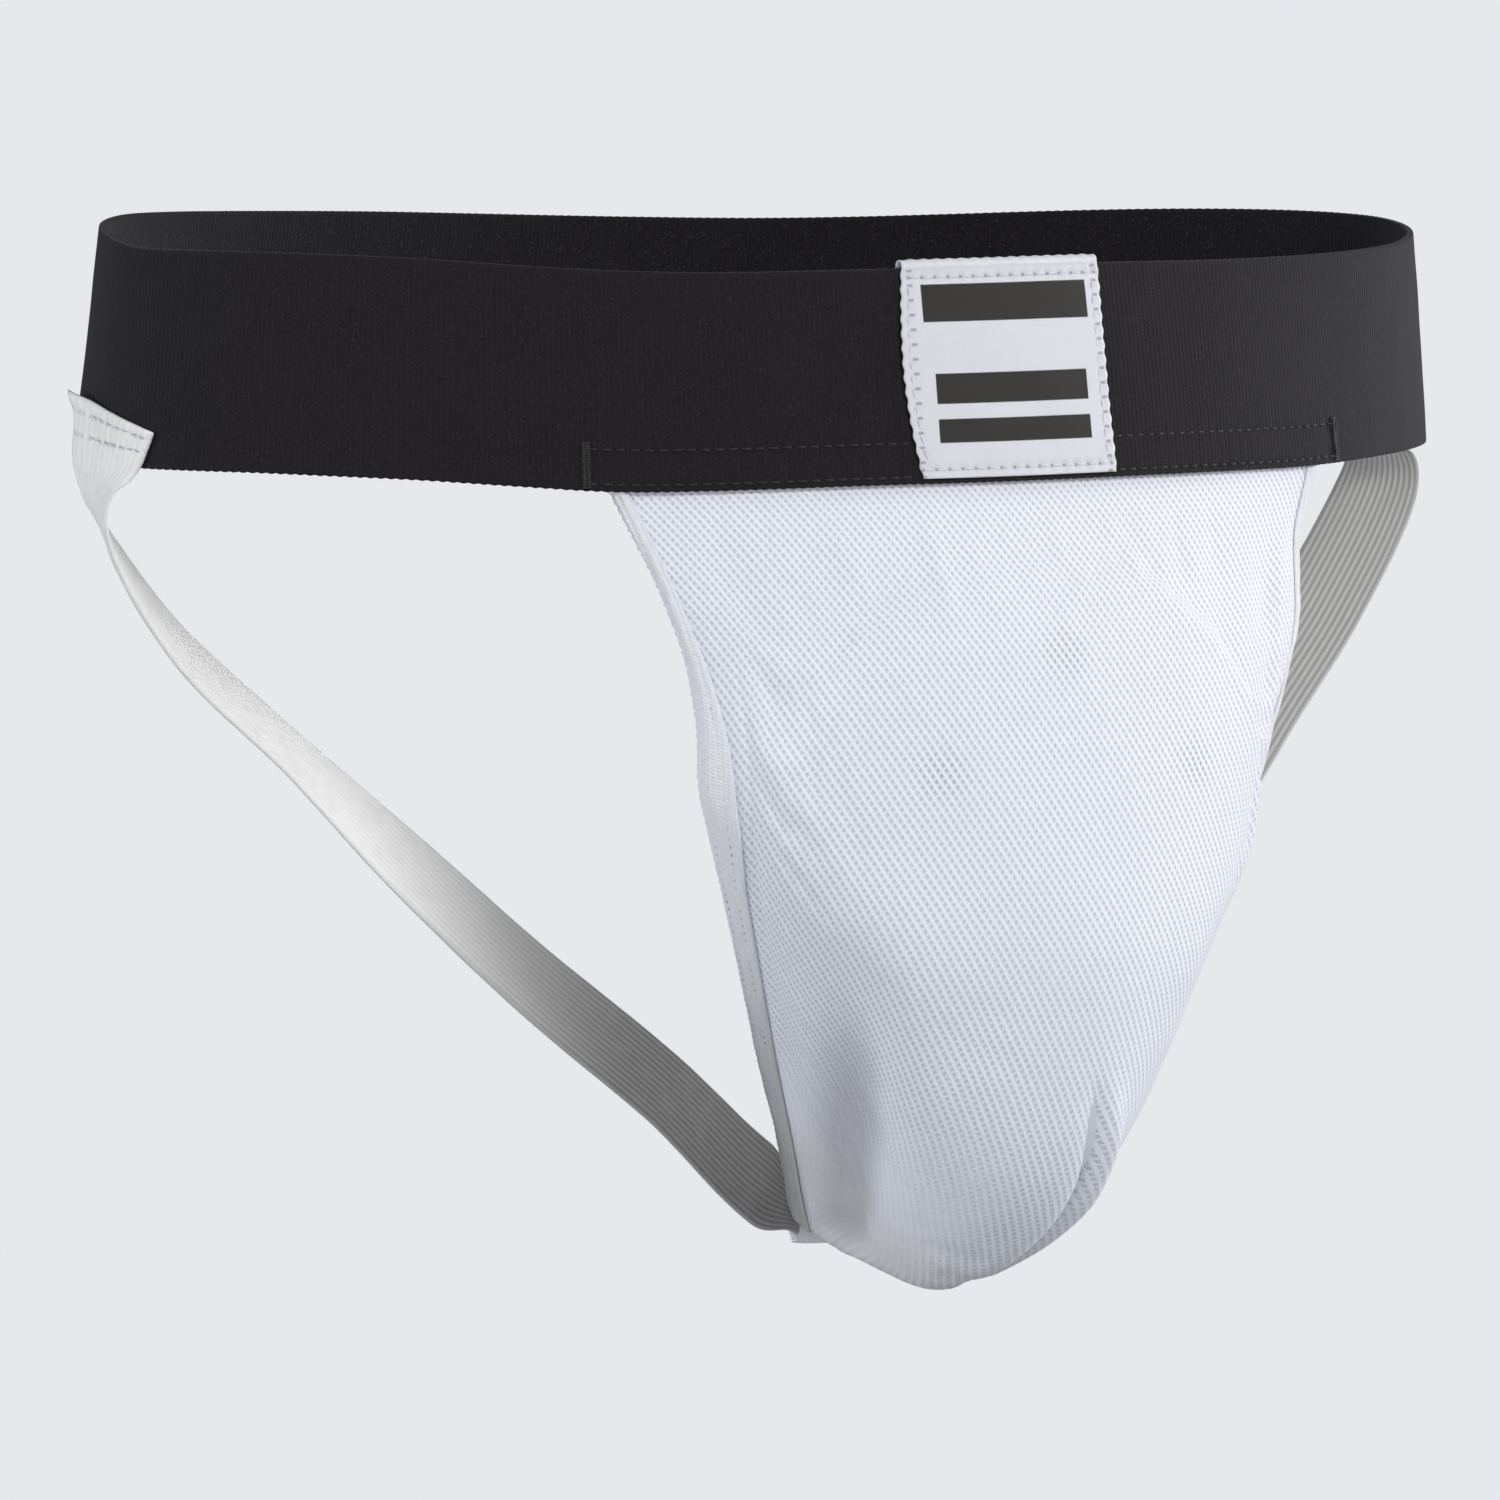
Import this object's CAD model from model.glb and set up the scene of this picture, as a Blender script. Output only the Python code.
"""Athletic supporter: elastic waistband, mesh pouch with a liner and cup, and two leg straps.

Lengths are in millimetres and become metres in mesh(). Up is +Z, the front is -Y and the
wearer's left is +X; the waistband rings the origin and everything else hangs below it.
"""
import math
from functools import cached_property

import bmesh
import bpy
import numpy as np
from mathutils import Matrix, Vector


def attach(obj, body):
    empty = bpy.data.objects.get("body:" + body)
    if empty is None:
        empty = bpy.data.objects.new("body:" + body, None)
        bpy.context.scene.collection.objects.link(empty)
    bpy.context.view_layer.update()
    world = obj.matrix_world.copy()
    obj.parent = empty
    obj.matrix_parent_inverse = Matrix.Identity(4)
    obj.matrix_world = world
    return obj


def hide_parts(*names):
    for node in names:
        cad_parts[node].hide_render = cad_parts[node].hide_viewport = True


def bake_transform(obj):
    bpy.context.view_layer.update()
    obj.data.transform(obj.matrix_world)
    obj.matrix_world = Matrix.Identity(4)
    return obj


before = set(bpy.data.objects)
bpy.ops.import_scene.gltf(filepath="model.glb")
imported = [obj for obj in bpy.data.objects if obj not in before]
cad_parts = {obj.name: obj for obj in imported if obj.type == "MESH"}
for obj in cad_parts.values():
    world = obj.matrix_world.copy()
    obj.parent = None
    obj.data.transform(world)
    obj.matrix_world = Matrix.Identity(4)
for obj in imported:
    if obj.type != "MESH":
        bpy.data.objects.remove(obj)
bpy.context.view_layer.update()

MM = 0.001

# ---------------------------------------------------------------- sizes
BAND_HALF_X, BAND_HALF_Y = 173.6, 104.6     # half-axes of the lower edge
BAND_TAPER_X, BAND_TAPER_Y = 3.6, 10.6      # how much shorter they are at the upper edge
BAND_H, BAND_T = 50.0, 1.8
GAP = 0.2                                   # between neighbouring layers
MESH_T, LINER_T = 0.9, 0.8
BIND_W = 8.0                                # side binding
TUCK = 12.0                                 # pouch top behind the waistband
POUCH_ANGLE = 33.5                          # degrees from the front to the pouch corner
POUCH_END = 0.985                           # where mesh and liner stop, as a share of the drop
SEAM_ROWS = (1.8, 9.6)                      # pouch stitching, above the band's lower edge
LABEL_W, LABEL_T = 54.0, 0.42
LABEL_ROWS = (2.3, 46.6)                    # label stitching, below the band's upper edge
LABEL_PITCH, LABEL_STITCH = 3.4, 2.3
BIND_PITCH = 2.3
STRAP_W, STRAP_T = 22.0, 1.3
STRAP_RIB = STRAP_W / 14
HIP_ROWS, HIP_PITCH = (4.8, 9.4), 2.25      # strap stitching, above the band's lower edge
CUP_T = 2.2

# Pouch stations from waistband to crotch. Columns: x, y, z of the side edge, y, z of the
# centre line, half-angle in degrees of the arc between them.
POUCH_STATIONS = np.array([
    (95.9, -84.5, -26.9, -105, -28, 36),
    (81.4, -91.4, -64.4, -121, -65.8, 75),
    (73.6, -88.3, -100.2, -129.6, -103, 85.5),
    (57.2, -74.1, -130.2, -132.7, -140, 91),
    (39, -55.1, -156.5, -119.9, -183.6, 87),
    (23.1, -39.6, -179, -82, -211, 85),
    (13.6, -30.7, -198, -41, -208, 88)])
EDGE_X, EDGE_Y, EDGE_Z, CENTRE_Y, CENTRE_Z, ARC_ANGLE = POUCH_STATIONS.T

# Left leg strap from hip to crotch. Columns: x, y, z of its middle, twist in degrees.
STRAP_STATIONS = np.array([
    (174.6, 1.8, -21.4, 16.4), (176, 2, -36.9, -24.7), (157.8, -0.1, -64.2, -37.3),
    (133.3, -7, -88.4, -40.5), (106, -14.8, -115.7, -53.6), (77.5, -22.4, -142.6, -58.8),
    (48.4, -29, -167, -61), (25, -30, -188.3, -66), (6.5, -27, -199.8, -66)])
STRAP_LINE, STRAP_TWIST = STRAP_STATIONS[:, :3], STRAP_STATIONS[:, 3]

# Lumps of slack cloth on the wearer's left. Columns: share of the drop, height in mm.
LUMP_HEIGHT = np.array([
    (0, 0), (0.013, -0.1), (0.035, -0.7), (0.055, -1.5), (0.075, -1.3), (0.095, -0.4),
    (0.154, 1.8), (0.19, 1.5), (0.224, 0.4), (0.274, -2.2), (0.314, -2.8), (0.336, -2.1),
    (0.36, -0.8), (0.40, -0.3), (0.44, -1.1), (0.46, -1.5), (0.48, -1.0), (0.516, -1.4),
    (0.55, -0.5), (0.583, -1.2), (0.61, -0.3), (0.65, -0.5), (0.69, 0.3), (0.75, -0.8),
    (0.78, -1.5), (0.815, -2.4), (0.85, -1.5), (0.90, 0), (1, 0)]).T
# Where their crest lies. Columns: share of the drop, share of the way to the side edge.
LUMP_CREST = np.array([
    (0, 1), (0.154, 0.97), (0.224, 0.87), (0.314, 0.78), (0.377, 0.72), (0.439, 0.62),
    (0.497, 0.54), (0.55, 0.48), (0.60, 0.42), (0.65, 0.34), (0.70, 0.27), (0.75, 0.20),
    (0.815, 0.11), (1, 0)]).T

# Vertical stray of the relaxed elastic. Columns: degrees from the front, rise in mm.
STRAY_TOP = (
    (-163, 1.2), (-153, 1.7), (-136, 2.3), (-122, 2.5), (-108, 1.2), (-90, -2.4), (-75, -1.0),
    (-59, 0.1), (-49, 0.3), (-38, -0.7), (-26, -0.9), (-9, 0.6), (9, 1.3), (20, 0.5), (30, 0),
    (43, -0.5), (55, -0.8), (85, 0.9), (99, 0.9), (111, 0.7), (123, 0.3), (136, -0.5),
    (144, -1.1), (153, -1.6), (162, -1.7), (176, -0.7))
STRAY_BOTTOM = (
    (-180, 0), (-110, 0), (-85, -0.1), (-66, 0.7), (-51, 0.5), (-38, -0.9), (-34, -1.7),
    (-23, -0.9), (-13, 0), (-8, 0.1), (9, 0.5), (15, 0.5), (21, 0.4), (29, 0), (36, 0.1),
    (42, 0.4), (62, 0.5), (100, 0), (180, 0))

# Cup holes. Columns: share of the drop, share of the way to the side edge, radius.
VENTS = ((0.165, 0.0, 4.5), (0.28, 0.315, 4.5), (0.28, -0.315, 4.5),
         (0.46, 0.17, 3.2), (0.46, -0.17, 3.2), (0.60, 0.38, 3.2), (0.60, -0.38, 3.2),
         (0.67, 0.14, 3.2), (0.67, -0.14, 3.2))


# ---------------------------------------------------------------- curves
def spline(stations, s):
    """Catmull-Rom curve through evenly spaced stations, s in 0..1."""
    K = np.asarray(stations, float)
    n = len(K) - 1
    t = np.clip(s, 0, 1) * n
    i = np.minimum(t.astype(int), n - 1)
    f = t - i
    first, last = (i > 0), (i < n - 1)
    if K.ndim > 1:
        f, first, last = f[..., None], first[..., None], last[..., None]
    p1, p2 = K[i], K[i + 1]
    p0 = np.where(first, K[np.maximum(i - 1, 0)], 2 * p1 - p2)
    p3 = np.where(last, K[np.minimum(i + 2, n)], 2 * p2 - p1)
    return 0.5 * (2 * p1 + (p2 - p0) * f + (2 * p0 - 5 * p1 + 4 * p2 - p3) * f * f
                  + (3 * p1 - p0 - 3 * p2 + p3) * f ** 3)


def unit(a):
    return a / np.maximum(np.linalg.norm(a, axis=-1, keepdims=True), 1e-9)


def ease(start, end, x):
    """Smooth step from 0 at start to 1 at end; start may lie above end."""
    t = np.clip((x - start) / (end - start), 0, 1)
    return t * t * (3 - 2 * t)


def bell(x, centre, width):
    return np.exp(-((x - centre) / width) ** 2)


def cosine(x, pitch, phase=0.0):
    return np.cos(2 * math.pi * x / pitch + phase)


def wobble(x, y, seed):
    """Smooth repeatable unevenness, about -1..1."""
    s = seed * 1.7
    return (np.sin(x + 1.3 * np.sin(y * 0.7 + s) + s) + 0.6 * np.sin(x * 2.3 - y * 1.9 + 2 * s)
            + 0.4 * np.sin(y * 3.1 + x * 0.6 + 3 * s)) / 2.0


def smooth_table(table, sigma):
    """Periodic table over -180..180 degrees, smoothed and sampled every degree."""
    degrees = np.arange(-180, 181)
    x, y = np.array(table).T
    y = np.interp(degrees, x, y, period=360)
    kernel = np.exp(-(np.arange(-30, 31) / sigma) ** 2 / 2)
    padded = np.concatenate([y[-31:-1], y, y[1:31]])
    return degrees, np.convolve(padded, kernel / kernel.sum(), "valid")


SMOOTH_TOP = smooth_table(STRAY_TOP, sigma=4.0)
SMOOTH_BOTTOM = smooth_table(STRAY_BOTTOM, sigma=3.0)


# ---------------------------------------------------------------- guiding surfaces
# Mirrored pieces are built on the wearer's left. Their side, 1 for left or -1 for right,
# picks the unevenness that is looked up.
def band_normal(angle):
    r = np.radians(angle)
    return unit(np.stack([BAND_HALF_Y * np.sin(r), -BAND_HALF_X * np.cos(r), 0 * r], -1))


def band(angle, t, out, side=1):
    """Waistband: degrees from the front, height share 0..1, distance out of its outer face."""
    p, t, out = np.broadcast_arrays(*(np.asarray(a, float) for a in (angle, t, out)))
    r = np.radians(p)
    a, b = BAND_HALF_X - BAND_TAPER_X * t, BAND_HALF_Y - BAND_TAPER_Y * t
    # Both edges are lowest at the front.
    top = BAND_H / 2 + 0.2 - 4.5 * np.cos(r) - 1.5 * np.cos(2 * r)
    bottom = -BAND_H / 2 - 0.2 - 2.1 * np.cos(r) - np.cos(2 * r)
    around = np.mod(side * p + 180, 360) - 180
    top = top + np.interp(around, *SMOOTH_TOP)
    bottom = bottom + np.interp(around, *SMOOTH_BOTTOM)
    base = np.stack([a * np.sin(r), 1.5 - 3 * t - b * np.cos(r), bottom + (top - bottom) * t], -1)
    return base + out[..., None] * band_normal(p)


def swept_pouch(v, w):
    a = np.radians(spline(ARC_ANGLE, v))
    k = (np.cos(w * a) - np.cos(a)) / (1 - np.cos(a))
    y, z = spline(EDGE_Y, v), spline(EDGE_Z, v)
    return np.stack([spline(EDGE_X, v) * np.sin(w * a) / np.sin(a),
                     y + (spline(CENTRE_Y, v) - y) * k, z + (spline(CENTRE_Z, v) - z) * k], -1)


def even_pouch(v, w, side=1):
    """Pouch without lumps: v runs 0..1 down from the band, w runs -1..1 from right to left."""
    v, w = np.broadcast_arrays(np.asarray(v, float), np.asarray(w, float))
    blend = 0.16      # share of the drop over which the pouch meets the band
    k = np.where(v < blend, (1 - v / blend) ** 2, 0)[..., None]
    top = band(POUCH_ANGLE * w, 0, -BAND_T - GAP, side)
    return swept_pouch(v, w) + (top - swept_pouch(0 * v, w)) * k


def normal_of(surface, v, w, side=1):
    v, w = np.broadcast_arrays(np.asarray(v, float), np.asarray(w, float))
    e = 0.01
    dv = surface(np.minimum(v + e, 1), w, side) - surface(np.maximum(v - e, 0), w, side)
    dw = surface(v, np.minimum(w + e, 1), side) - surface(v, np.maximum(w - e, -1), side)
    return unit(np.cross(dv, dw))


def pouch(v, w, side=1):
    """The even pouch with the lumps that slack cloth takes along the wearer's left."""
    v, w = np.broadcast_arrays(np.asarray(v, float), np.asarray(w, float))
    height = sum(np.interp(v + dv, *LUMP_HEIGHT) for dv in np.linspace(-0.016, 0.016, 5)) / 5
    x = side * w - np.interp(v, *LUMP_CREST)
    spread = bell(x, 0, np.where(x > 0, 0.35, 0.16))
    return (even_pouch(v, w, side)
            + normal_of(even_pouch, v, w, side) * (height * spread)[..., None])


def off_pouch(v, w, out, side=1):
    normal = normal_of(pouch, v, w, side)
    return pouch(v, w, side) + np.asarray(out, float)[..., None] * normal


def binding_share(v, side=1):
    """Binding width as a share of the pouch's half-width."""
    v = np.asarray(v, float)
    near_edge = np.linalg.norm(pouch(v, 1.0, side) - pouch(v, 0.94, side), axis=-1)
    return BIND_W / (near_edge / 0.06)


def binding_w(v, k):
    """w at k binding widths out from the binding's inner edge."""
    return 1 - binding_share(v) * (1 - k)


def edge_outward(v, side):
    return unit(pouch(v, 1.0, side) - pouch(v, 0.96, side))


def binding_at(v, k, out, side=1):
    """Point k binding widths from the binding's inner edge; past 1 it leaves the pouch."""
    v, k, out = np.broadcast_arrays(*(np.asarray(a, float) for a in (v, k, out)))
    w = 1 - binding_share(v, side) * (1 - np.minimum(k, 1))
    beyond = (np.maximum(k, 1) - 1)[..., None] * BIND_W * edge_outward(v, side)
    return off_pouch(v, w, out, side) + beyond


# ---------------------------------------------------------------- mesh building
def link(name, data):
    ob = bpy.data.objects.new(name, data)
    bpy.context.scene.collection.objects.link(ob)
    return ob


def shade_smooth(me):
    me.polygons.foreach_set("use_smooth", [True] * len(me.polygons))


def recalc_normals(me):
    bm = bmesh.new()
    bm.from_mesh(me)
    bmesh.ops.recalc_face_normals(bm, faces=bm.faces)
    bm.to_mesh(me)
    bm.free()


def mesh(name, points, faces, pat=None, material=None):
    """Object from points in mm; pat holds up to three pattern coordinates for each point."""
    me = bpy.data.meshes.new(name)
    points = np.asarray(points, float).reshape(-1, 3) * MM
    me.from_pydata(points.tolist(), [], faces)
    if pat is not None:
        layer = me.attributes.new("pat", "FLOAT_VECTOR", "POINT")
        values = np.zeros((len(points), 3), np.float32)
        pat = np.asarray(pat, float).reshape(len(points), -1)
        values[:, :pat.shape[1]] = pat
        layer.data.foreach_set("vector", values.ravel())
    me.validate()
    recalc_normals(me)
    shade_smooth(me)
    ob = link(name, me)
    if material:
        me.materials.append(material)
    return ob


def grid_faces(rows, cols, base=0, loop_cols=False, loop_rows=False, flip=False):
    i = np.arange(rows if loop_rows else rows - 1)[:, None]
    j = np.arange(cols if loop_cols else cols - 1)[None, :]
    i1, j1 = (i + 1) % rows, (j + 1) % cols
    corners = [i * cols + j, i1 * cols + j, i1 * cols + j1, i * cols + j1]
    f = np.stack(corners, -1).reshape(-1, 4) + base
    return f[:, ::-1] if flip else f


def ring_mesh(name, rings, pat, material, closed=False, flip=False):
    """Sweep of closed profiles: rings is rows x profile points x 3. Open sweeps get caps."""
    r, c = rings.shape[:2]
    f = grid_faces(r, c, loop_cols=True, loop_rows=closed, flip=flip).tolist()
    if not closed:
        start, end = list(range(c)), list(range((r - 1) * c, r * c))
        f += [start[::-1], end] if flip else [start, end[::-1]]
    return mesh(name, rings, f, pat, material)


def shell_mesh(name, outer, inner, pat, material, flip=False, inner_pat=None, sharp_row=None):
    """Sheet with thickness: outer and inner grids, joined round the border."""
    r, c = outer.shape[:2]
    n = r * c
    border = []
    for j in range(c - 1):
        end = (r - 1) * c + j
        border += [[j, j + 1, n + j + 1, n + j], [end + 1, end, n + end, n + end + 1]]
    for i in range(r - 1):
        a, b = i * c, (i + 1) * c
        border += [[b, a, n + a, n + b], [a + c - 1, b + c - 1, n + b + c - 1, n + a + c - 1]]
    border = np.array(border)
    f = [grid_faces(r, c, 0, flip=flip), grid_faces(r, c, n, flip=not flip),
         border[:, ::-1] if flip else border]
    inner_pat = pat if inner_pat is None else inner_pat
    ob = mesh(name, np.concatenate([outer.reshape(-1, 3), inner.reshape(-1, 3)]),
              np.concatenate(f).tolist(),
              np.concatenate([pat.reshape(n, -1), inner_pat.reshape(n, -1)]), material)
    if sharp_row is not None:
        row = range(sharp_row % r * c, (sharp_row % r + 1) * c)
        ring = set(row) | {k + n for k in row}
        for e in ob.data.edges:
            if e.vertices[0] in ring and e.vertices[1] in ring:
                e.use_edge_sharp = True
    return ob


def stitches(name, items, material, radius=0.22, rings=7, sides=6):
    """Thread from (start, end, outward) items: arched strands that dive into the cloth."""
    points, faces, pat = [], [], []
    for start, end, outward in items:
        start, end, n = (np.asarray(a, float) for a in (start, end, outward))
        t = end - start
        length = np.linalg.norm(t)
        t = t / length
        n = unit(n - (n @ t) * t)
        b = np.cross(t, n)
        base = len(points)
        for i in range(rings):
            u = i / (rings - 1)
            arch = math.sin(math.pi * u) ** 0.6
            plump = math.sin(math.pi * min(max(u, 0.06), 0.94)) ** 0.5
            local = radius * (0.45 + 0.55 * plump)
            c = start + t * length * u + n * (arch * radius * 1.15 - radius * 0.85)
            for k in range(sides):
                g = 2 * math.pi * k / sides
                points.append(c + local * (math.cos(g) * b + math.sin(g) * n))
                pat.append((u * length, k / sides, 0))
        faces += grid_faces(rings, sides, base, loop_cols=True).tolist()
        faces.append([base + k for k in range(sides)])
        faces.append([base + (rings - 1) * sides + k for k in reversed(range(sides))])
    return mesh(name, points, faces, pat, material)


def register(ob, slot, *cad_pieces, body="supporter"):
    if cad_pieces:
        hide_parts(*cad_pieces)
    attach(ob, body)


# ---------------------------------------------------------------- shader helpers
class Field:
    """A shader socket that can be combined with + - * and shaped into ramps and waves."""

    def __init__(self, material, socket):
        self.material, self.socket = material, socket

    def math(self, op, *others):
        return self.material.math(op, self, *others)

    def __add__(self, other):
        return self.math("ADD", other)

    def __sub__(self, other):
        return self.math("SUBTRACT", other)

    def __rsub__(self, other):
        return self.material.math("SUBTRACT", other, self)

    def __mul__(self, other):
        return self.math("MULTIPLY", other)

    def __abs__(self):
        return self.math("ABSOLUTE")

    def max(self, other):
        return self.math("MAXIMUM", other)

    def fit(self, gain, base):
        return self.math("MULTIPLY_ADD", gain, base)

    def wave(self, pitch):
        """0..1 cosine wave."""
        return self.fit(2 * math.pi / pitch, 0.0).math("COSINE").fit(0.5, 0.5)

    def ramp(self, start, end, low=0.0, high=1.0):
        node = self.material.nodes.new("ShaderNodeMapRange")
        node.interpolation_type = "SMOOTHSTEP"
        for socket, value in zip(node.inputs[:5], (self, start, end, low, high)):
            self.material.feed(socket, value)
        return Field(self.material, node.outputs[0])

    def between(self, start, end, soft):
        """1 between start and end, with soft edges."""
        return (self.ramp(start - soft, start + soft)
                * self.ramp(end - soft, end + soft, low=1.0, high=0.0))


class Material:
    def __init__(self, name):
        self.data = bpy.data.materials.new(name)
        self.data.use_nodes = True
        self.nodes, self.links = self.data.node_tree.nodes, self.data.node_tree.links
        self.shader = self.nodes["Principled BSDF"]

    def pattern(self):
        """The three pattern coordinates stored on the mesh."""
        source = self.nodes.new("ShaderNodeAttribute")
        source.attribute_name = "pat"
        split = self.nodes.new("ShaderNodeSeparateXYZ")
        self.links.new(source.outputs["Vector"], split.inputs[0])
        return [Field(self, socket) for socket in split.outputs]

    @cached_property
    def position(self):
        return self.nodes.new("ShaderNodeNewGeometry").outputs["Position"]

    @cached_property
    def object_position(self):
        return self.nodes.new("ShaderNodeTexCoord").outputs["Object"]

    def feed(self, socket, value):
        if isinstance(value, Field):
            self.links.new(value.socket, socket)
        else:
            rgb = socket.type == "RGBA" and len(value) == 3
            socket.default_value = (*value, 1) if rgb else value

    def math(self, op, *values):
        node = self.nodes.new("ShaderNodeMath")
        node.operation = op
        for socket, value in zip(node.inputs, values):
            self.feed(socket, value)
        return Field(self, node.outputs[0])

    def noise(self, scale, detail=2.0, rough=0.5):
        """Noise in world space; scale is in cells per metre."""
        node = self.nodes.new("ShaderNodeTexNoise")
        self.links.new(self.position, node.inputs["Vector"])
        node.inputs["Scale"].default_value = scale
        node.inputs["Detail"].default_value = detail
        node.inputs["Roughness"].default_value = rough
        return Field(self, node.outputs["Fac"])

    def distance(self, point):
        """Distance in metres from a point given in mm."""
        node = self.nodes.new("ShaderNodeVectorMath")
        node.operation = "DISTANCE"
        self.links.new(self.object_position, node.inputs[0])
        node.inputs[1].default_value = [a * MM for a in point]
        return Field(self, node.outputs["Value"])

    def mix(self, amount, a, b):
        """Colour a where amount is 0, colour b where it is 1."""
        node = self.nodes.new("ShaderNodeMix")
        node.data_type = "RGBA"
        for index, value in ((0, amount), (6, a), (7, b)):
            self.feed(node.inputs[index], value)
        return Field(self, node.outputs[2])

    def bump(self, height, distance, strength=0.8):
        node = self.nodes.new("ShaderNodeBump")
        node.inputs["Strength"].default_value = strength
        node.inputs["Distance"].default_value = distance * MM
        self.feed(node.inputs["Height"], height)
        return Field(self, node.outputs[0])

    def set(self, **inputs):
        for name, value in inputs.items():
            self.feed(self.shader.inputs[name.replace("_", " ")], value)
        return self.data


# ---------------------------------------------------------------- materials
# Factors on textures are mixing weights; colours are linear RGB.
def band_material():
    """Pattern: distance round the band, height, 1 on the inner face."""
    m = Material("waistband_elastic")
    u, height, inner = m.pattern()
    rib_pitch = 1.25
    rib = u.wave(pitch=rib_pitch)
    # Cross threads step by half their pitch at each half rib.
    pick = (height + (u * (2 / rib_pitch)).math("FLOOR") * 0.5).wave(pitch=1.0)
    fuzz = m.noise(scale=2600, detail=3, rough=0.7)
    fleck = m.noise(scale=1700, detail=2, rough=0.6).ramp(start=0.56, end=0.72)
    cloud = m.noise(scale=60, detail=3)
    weave = rib * 0.55 + pick * 0.45
    colour = m.mix(weave * 0.8, (0.0050, 0.0041, 0.0049), (0.0140, 0.0116, 0.0141))
    # Flecks are paler on the inner face.
    colour = m.mix(fleck * inner.fit(gain=0.3, base=0.22), colour, (0.075, 0.07, 0.08))
    colour = m.mix(cloud * 0.35, colour, (0.018, 0.016, 0.019))
    # Woven selvedges along both edges.
    selvedge = height.between(-1, 1.6, soft=0.3).max(height.between(48.6, 52, soft=0.3))
    colour = m.mix(selvedge * 0.5, colour, (0.012, 0.0105, 0.013))
    relief = weave * 0.4 + fuzz * 0.6
    return m.set(Base_Color=colour, Roughness=fuzz.fit(gain=0.2, base=0.72),
                 Normal=m.bump(relief, distance=0.18), Sheen_Weight=0.12, Sheen_Roughness=0.5,
                 Sheen_Tint=(0.8, 0.78, 0.84), Specular_IOR_Level=0.16)


def mesh_material():
    """Pattern: distance across from the centre, distance down, height of the folds."""
    m = Material("mesh_knit")
    across, down, fold = m.pattern()
    cell_w, cell_h = 2.0, 2.45
    # The knit leans and wavers slightly.
    u = across + down * 0.22 + m.noise(scale=90, detail=2) * 0.5
    left = u * (1 / cell_w) + down * (1 / cell_h)
    right = u * (1 / cell_w) - down * (1 / cell_h)
    # Tall diamonds between two sets of slanting strands, one set lying on top.
    under = left.wave(pitch=1.0).ramp(start=0.30, end=0.85)
    over = right.wave(pitch=1.0).ramp(start=0.22, end=0.75)
    strand = (under * 0.72).max(over)
    # The pattern fades low on the pouch, away from its centre.
    calm = down.ramp(start=150, end=190) * abs(across).ramp(start=6, end=20) * 0.75
    strand = strand * (1.0 - calm) + calm * 0.72
    fuzz = m.noise(scale=2600, detail=2, rough=0.6)
    cloud = m.noise(scale=30, detail=2)
    hollow = None
    for v, w, _ in VENTS[:3]:
        gap = m.distance(even_pouch(v, w).tolist())
        near = gap.ramp(start=1.5 * MM, end=8.5 * MM, low=1.0, high=0.0)
        hollow = near if hollow is None else hollow.max(near)
    # Seen through the openings: the pale cup, or the darker hollow of one of its vents.
    behind = m.mix(hollow, (0.62, 0.65, 0.76), (0.50, 0.52, 0.60))
    colour = m.mix(strand, behind, (0.90, 0.915, 0.985))
    colour = m.mix(cloud.ramp(start=0.35, end=0.7) * 0.05, colour, (0.66, 0.69, 0.80))
    # Greyer in the valleys of folds and towards the crotch.
    colour = m.mix(fold.ramp(start=-0.5, end=-4.8) * 0.62, colour, (0.30, 0.31, 0.34))
    colour = m.mix(down.ramp(start=188, end=214) * 0.45, colour, (0.60, 0.60, 0.585))
    return m.set(Base_Color=colour, Roughness=0.75,
                 Normal=m.bump(strand + fuzz * 0.12, distance=0.20, strength=0.75),
                 Sheen_Weight=0.2, Sheen_Roughness=0.4, Specular_IOR_Level=0.25,
                 Subsurface_Weight=0.1, Subsurface_Radius=(1.0, 1.0, 1.0),
                 Subsurface_Scale=0.0012)


def cloth_material(name, low, high, pitch_u, pitch_v, relief, rough=0.8, fuzz_scale=2500,
                   grain=0.4, sheen=0.25, dusk=None):
    """Plain cloth; grain is the fuzz's share of the colour, dusk where it turns grey."""
    m = Material(name)
    u, v, _ = m.pattern()
    rib = u.wave(pitch_u)
    pick = (v + u * (0.5 * pitch_v / pitch_u)).wave(pitch_v)
    weave = rib * 0.5 + pick * 0.5
    fuzz = m.noise(fuzz_scale, detail=3, rough=0.65)
    cloud = m.noise(scale=90, detail=2)
    colour = m.mix(weave * (1 - grain) + fuzz * grain, low, high)
    colour = m.mix(cloud * 0.12, colour, tuple(x * 0.8 for x in low))
    if dusk:
        colour = m.mix(v.ramp(*dusk) * 0.7, colour, (0.36, 0.36, 0.365))
    return m.set(Base_Color=colour, Roughness=rough, Normal=m.bump(weave + fuzz * 0.7, relief),
                 Sheen_Weight=sheen, Sheen_Roughness=0.4, Specular_IOR_Level=0.3)


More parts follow.
